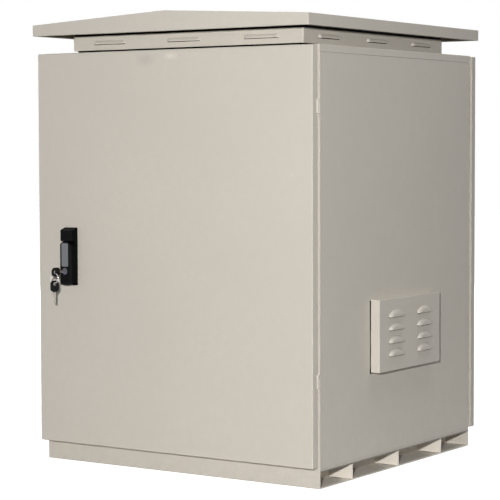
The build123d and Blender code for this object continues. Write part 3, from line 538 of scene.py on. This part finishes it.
def pan_head(bm, place, axis, radius, height):
    """Pan-head screw with a cross recess, standing on a place along an axis."""
    count, arm_share, slim_share, floor_share = 20, 0.42, 0.12, 0.35
    turn = Vector((0.0, 0.0, 1.0)).rotation_difference(Vector(axis)).to_matrix()

    def put(x, y, z):
        return Vector(place) + turn @ Vector((x, y, z))

    circle = [(math.cos(FULL_TURN * i / count), math.sin(FULL_TURN * i / count)) for i in range(count)]
    rings = []
    for across, rise in HEAD_PROFILE:
        rings.append([put(radius * across * x, radius * across * y, height * rise) for x, y in circle])
    crown = skin(bm, rings)[-1]
    arm, slim = radius * arm_share, radius * slim_share
    quarter = [(arm, -slim), (arm, slim), (slim, slim)]
    outline = []
    for c, s in ((1, 0), (0, 1), (-1, 0), (0, -1)):
        outline += [(x * c - y * s, x * s + y * c) for x, y in quarter]
    levels = [[put(x, y, z) for x, y in outline] for z in (height, height * floor_share)]
    rim, bed = skin(bm, levels)
    bm.faces.new(bed)
    edges = []
    for ring in (crown, rim):
        edges += [bm.edges.get((ring[i], ring[(i + 1) % len(ring)])) for i in range(len(ring))]
    bmesh.ops.triangle_fill(bm, use_beauty=True, edges=edges)


def screws(name, body, places, axis, radius, height):
    """One piece with a screw head at each place."""
    bm = bmesh.new()
    for place in places:
        pan_head(bm, place, axis, radius, height)
    return piece(name, bm, "zinc", body)


# Screw heads: radius and height
PLATE_HEAD = (0.0042, 0.0024)
LEAF_HEAD = (0.0024, 0.0011)


def gland_screws():
    """Screws round the edge of the gland plate."""
    low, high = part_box("gland_plate")
    inset = 0.0075
    xs = [low.x + inset, (low.x + high.x) / 2, high.x - inset]
    ys = [low.y + inset, high.y - inset]
    screws("gland_screws", "cabinet", [(x, y, high.z) for x in xs for y in ys], (0, 0, 1), *PLATE_HEAD)


def fan_screws():
    """Screws in the corners of both fan frames."""
    low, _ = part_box("fan_frames")
    reach = 0.0525
    places = []
    for rotor in ("fan_rotor_front", "fan_rotor_rear"):
        a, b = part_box(rotor)
        middle = (a + b) / 2
        places += [(low.x, middle.y + sy * reach, middle.z + sz * reach) for sy in (-1, 1) for sz in (-1, 1)]
    screws("fan_screws", "cabinet", places, (-1, 0, 0), *PLATE_HEAD)


def hinge_screws(side):
    """Screws in the leaves of one door's hinges."""
    out = -1 if side == "front" else 1
    inset, leaf_height, spread = 0.01, 0.016, 0.0036
    body_leaf_back, door_leaf_back = 0.0025, 0.0015
    low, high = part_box(side + "_hinge_pins")
    x = (low.x + high.x) / 2 + out * inset
    axis_y = (low.y + high.y) / 2
    leaves = (("body", "cabinet", body_leaf_back, out), ("door", side + "_door", door_leaf_back, -out))
    for part, body, back, face in leaves:
        low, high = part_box(side + "_hinge_" + part + "_leaves")
        middles = (low.z + leaf_height / 2, high.z - leaf_height / 2)
        places = [(x, axis_y - out * back, z + rise) for z in middles for rise in (-spread, spread)]
        screws(side + "_" + part + "_leaf_screws", body, places, (0, face, 0), *LEAF_HEAD)


def waver(y, z, scale, seed):
    """Uneven value between about minus one and one along the hood's edge."""
    return noise.noise(Vector((y * scale, z * scale, seed)))


def hood_bead_and_painted_shadow():
    """Uneven dark bead where the hood's front edge meets the side panel, carried on along the bottom and
    rear edges as a painted shadow line.
    """
    parts, top_inset, tuck = 24, 0.002, 0.0006
    width, width_change, depth, depth_change = 0.0021, 0.0011, 0.0019, 0.0008
    round_depth_share, round_width_share = 0.7, 0.75
    low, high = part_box("vent_hood")
    top = high.z - top_inset
    corners = [(low.y, top), (low.y, low.z), (high.y, low.z), (high.y, top)]
    corner_outs = [(-1, 0), (-1, -1), (1, -1), (1, 0)]
    run_outs = [(-1, 0), (0, -1), (1, 0)]
    path = []
    for i, run_out in enumerate(run_outs):
        path.append((corners[i], corner_outs[i]))
        path += [(between(corners[i], corners[i + 1], k / parts), run_out) for k in range(1, parts)]
    path.append((corners[-1], corner_outs[-1]))
    rings = []
    for (y, z), side in path:
        wide = width + width_change * waver(y, z, scale=31.0, seed=4.2)
        deep = depth + depth_change * waver(y, z, scale=23.0, seed=8.1)
        rounded = (deep * round_depth_share, wide * round_width_share)
        profile = ((0.0, -tuck), (0.0, wide), rounded, (deep, -tuck))
        rings.append([(low.x + rise, y + side[0] * reach, z + side[1] * reach) for rise, reach in profile])
    bm = bmesh.new()
    capped(bm, rings)
    piece("hood_bead_and_painted_shadow", bm, "rubber", "cabinet")


for side in ("front", "rear"):
    foam_gasket(side)
    hinge_screws(side)
filter_fleece()
hood_bead_and_painted_shadow()
split_ring()
gland_screws()
fan_screws()


# Studio and camera

FLOOR_HALF = 14.0
FLOOR_DROP = 0.0006
FLOOR_TONE = 0.82
UNDER_EDGE = 0.002


def outside_plinth(nt, place):
    """One on the open floor, zero under the plinth."""
    _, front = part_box("plinth_front_panel")
    _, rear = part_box("plinth_rear_panel")
    parts = nt.nodes.new("ShaderNodeSeparateXYZ")
    nt.links.new(place, parts.inputs["Vector"])
    past = []
    for axis, half in (("X", front.x), ("Y", rear.y)):
        size = math_socket(nt, "ABSOLUTE", parts.outputs[axis])
        past.append(range_node(nt, size, (half - UNDER_EDGE, half), RISE).outputs["Result"])
    return math_socket(nt, "MAXIMUM", *past)


def seen_only(nt):
    """One for the rays that show the background, else zero."""
    path = nt.nodes.new("ShaderNodeLightPath").outputs
    straight = math_socket(nt, "MAXIMUM", path["Is Camera Ray"], path["Is Glossy Ray"])
    return math_socket(nt, "MAXIMUM", straight, path["Is Transmission Ray"])


def floor_material():
    """Pale where it is seen, darker as a source of bounced light, and dark under the plinth."""
    mat = bpy.data.materials.new("studio_floor")
    mat.use_nodes = True
    nt = mat.node_tree
    nt.nodes.clear()
    place = nt.nodes.new("ShaderNodeTexCoord").outputs["Object"]
    reach = nt.nodes.new("ShaderNodeVectorMath")
    reach.operation = "LENGTH"
    nt.links.new(place, reach.inputs[0])
    away = reach.outputs["Value"]
    bounce = range_node(nt, away, (0.5, 0.85), (0.6, 0.25))
    tone = range_node(nt, seen_only(nt), RISE, (FLOOR_TONE, FLOOR_TONE))
    nt.links.new(bounce.outputs["Result"], tone.inputs["To Min"])
    diffuse = nt.nodes.new("ShaderNodeBsdfDiffuse")
    nt.links.new(tone.outputs["Result"], diffuse.inputs["Color"])
    white = range_node(nt, away, (2.0, 5.0), (0.9, 1.0)).outputs["Result"]
    bare = math_socket(nt, "MULTIPLY", white, outside_plinth(nt, place))
    glow = nt.nodes.new("ShaderNodeEmission")
    nt.links.new(math_socket(nt, "MULTIPLY", seen_only(nt), bare), glow.inputs["Strength"])
    add = nt.nodes.new("ShaderNodeAddShader")
    out = nt.nodes.new("ShaderNodeOutputMaterial")
    nt.links.new(diffuse.outputs["BSDF"], add.inputs[0])
    nt.links.new(glow.outputs["Emission"], add.inputs[1])
    nt.links.new(add.outputs["Shader"], out.inputs["Surface"])
    return mat


def studio_floor():
    """Pale floor that shows as near white and keeps the soft shadow."""
    mesh = bpy.data.meshes.new("studio_floor")
    corners = [(x * FLOOR_HALF, y * FLOOR_HALF, 0) for x, y in ((-1, -1), (1, -1), (1, 1), (-1, 1))]
    mesh.from_pydata(corners, [], [(0, 1, 2, 3)])
    mesh.materials.append(floor_material())
    floor = bpy.data.objects.new("studio_floor", mesh)
    bpy.context.scene.collection.objects.link(floor)
    floor.location.z = -FLOOR_DROP


def studio_world(ambient, color):
    """White where it is seen, soft grey as a source of light."""
    world = bpy.data.worlds.new("studio")
    bpy.context.scene.world = world
    world.use_nodes = True
    nt = world.node_tree
    nt.nodes.clear()
    light = nt.nodes.new("ShaderNodeBackground")
    light.inputs["Color"].default_value = color
    light.inputs["Strength"].default_value = ambient
    seen = nt.nodes.new("ShaderNodeBackground")
    seen.inputs["Color"].default_value = (1.0, 1.0, 1.0, 1.0)
    seen.inputs["Strength"].default_value = 1.0
    mix = nt.nodes.new("ShaderNodeMixShader")
    out = nt.nodes.new("ShaderNodeOutputWorld")
    nt.links.new(seen_only(nt), mix.inputs["Fac"])
    nt.links.new(light.outputs["Background"], mix.inputs[1])
    nt.links.new(seen.outputs["Background"], mix.inputs[2])
    nt.links.new(mix.outputs["Shader"], out.inputs["Surface"])


def soft_lamp(name, place, target, size, watts, color=(1.0, 1.0, 1.0)):
    """Square soft box aimed at a point."""
    data = bpy.data.lights.new(name, "AREA")
    data.shape = "SQUARE"
    data.size = size
    data.energy = watts
    data.color = color
    lamp = bpy.data.objects.new(name, data)
    bpy.context.scene.collection.objects.link(lamp)
    lamp.location = place
    lamp.rotation_euler = (Vector(target) - Vector(place)).to_track_quat("-Z", "Y").to_euler()


CAMERA_PLACE = (2.60108, -3.94346, 0.78607)
CAMERA_YAW = 0.5895
CAMERA_PITCH = 0.0571
CAMERA_ROLL = -0.0027
FOCAL_PIXELS = 1859.69
FRAME_PIXELS = 500.0
SENSOR_WIDTH = 36.0


def photo_camera():
    """Camera at the photograph's viewpoint."""
    yaw, pitch, roll = CAMERA_YAW, CAMERA_PITCH, CAMERA_ROLL
    ahead = Vector((-math.sin(yaw) * math.cos(pitch), math.cos(yaw) * math.cos(pitch), -math.sin(pitch)))
    level = Vector((math.cos(yaw), math.sin(yaw), 0.0))
    above = level.cross(ahead)
    right = level * math.cos(roll) + above * math.sin(roll)
    up = above * math.cos(roll) - level * math.sin(roll)
    data = bpy.data.cameras.new("photo_camera")
    data.sensor_width = SENSOR_WIDTH
    data.lens = FOCAL_PIXELS / FRAME_PIXELS * SENSOR_WIDTH
    data.clip_end = 60.0
    camera = bpy.data.objects.new("photo_camera", data)
    bpy.context.scene.collection.objects.link(camera)
    turn = Matrix((right, up, -ahead)).transposed().to_4x4()
    camera.matrix_world = Matrix.Translation(CAMERA_PLACE) @ turn
    bpy.context.scene.camera = camera


studio_floor()
studio_world(ambient=0.13, color=(0.94, 0.98, 1.06, 1.0))
soft_lamp("key_light", place=(2.42, -4.12, 1.14), target=(0.0, -0.1, 0.6), size=0.14, watts=179.0,
          color=(1.0, 0.992, 0.988))
soft_lamp("fill_light", place=(-2.6, -3.4, 1.2), target=(-0.3, -0.3, 0.6), size=1.6, watts=8.0)
soft_lamp("top_light", place=(1.1, 0.1, 4.2), target=(0.3, 0.0, 0.5), size=2.0, watts=40.0)
soft_lamp("back_light", place=(-3.2, 4.2, 1.8), target=(0.0, 0.1, 0.6), size=1.5, watts=220.0)
photo_camera()
bpy.context.scene.view_settings.view_transform = "Standard"
